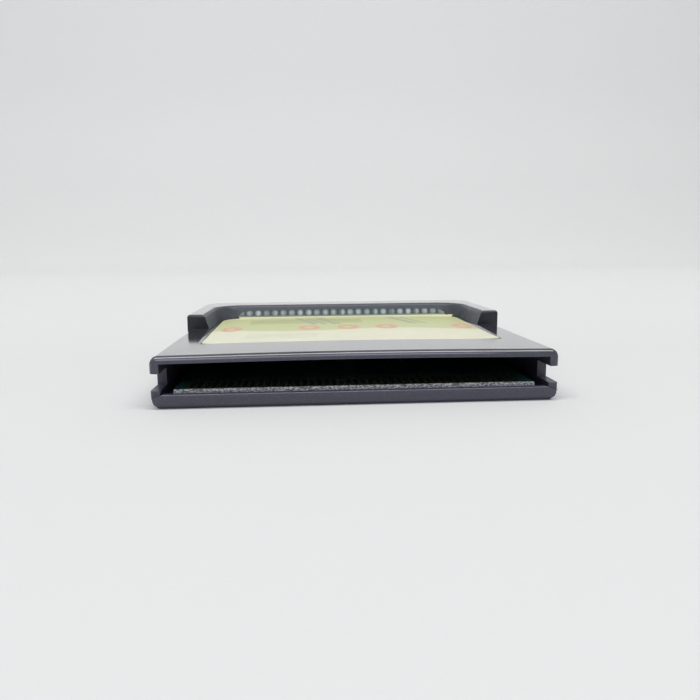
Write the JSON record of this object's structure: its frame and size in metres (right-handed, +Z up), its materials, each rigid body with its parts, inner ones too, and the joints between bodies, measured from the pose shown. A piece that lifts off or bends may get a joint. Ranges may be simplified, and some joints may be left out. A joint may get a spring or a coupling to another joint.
{
  "type": "game cartridge",
  "caption": "Flat handheld game cartridge: two screwed shells round a circuit board, with an open connector mouth, a recessed label and a raised rim round it.",
  "frame": {"origin": "middle of the footprint, on the table under the case", "axes": "+X across the case, +Y from the mouth to the far end, +Z up through the label"},
  "size_m": [0.068, 0.067, 0.012],
  "materials": {
    "shell_plastic": "dark grey moulded plastic, smooth on the deck and finely textured at the ends",
    "label_paper": "coated paper sticker, cream with a green band",
    "board_laminate": "glass-fibre board with a dark green lacquer",
    "contact_gold": "thin gold plating",
    "chip_epoxy": "moulded black epoxy",
    "tinned_lead": "dull tin",
    "capacitor_ceramic": "fired ceramic",
    "screw_steel": "zinc plated"
  },
  "bodies": {
    "root": {"front_shell": "shell_plastic", "back_shell": "shell_plastic", "label": "label_paper", "circuit_board": "board_laminate", "edge_contacts": "contact_gold", "memory_chip": "chip_epoxy", "chip_leads": "tinned_lead", "capacitor": "capacitor_ceramic", "capacitor_ends": "tinned_lead", "case_screw": "screw_steel"}
  },
  "joints": []
}
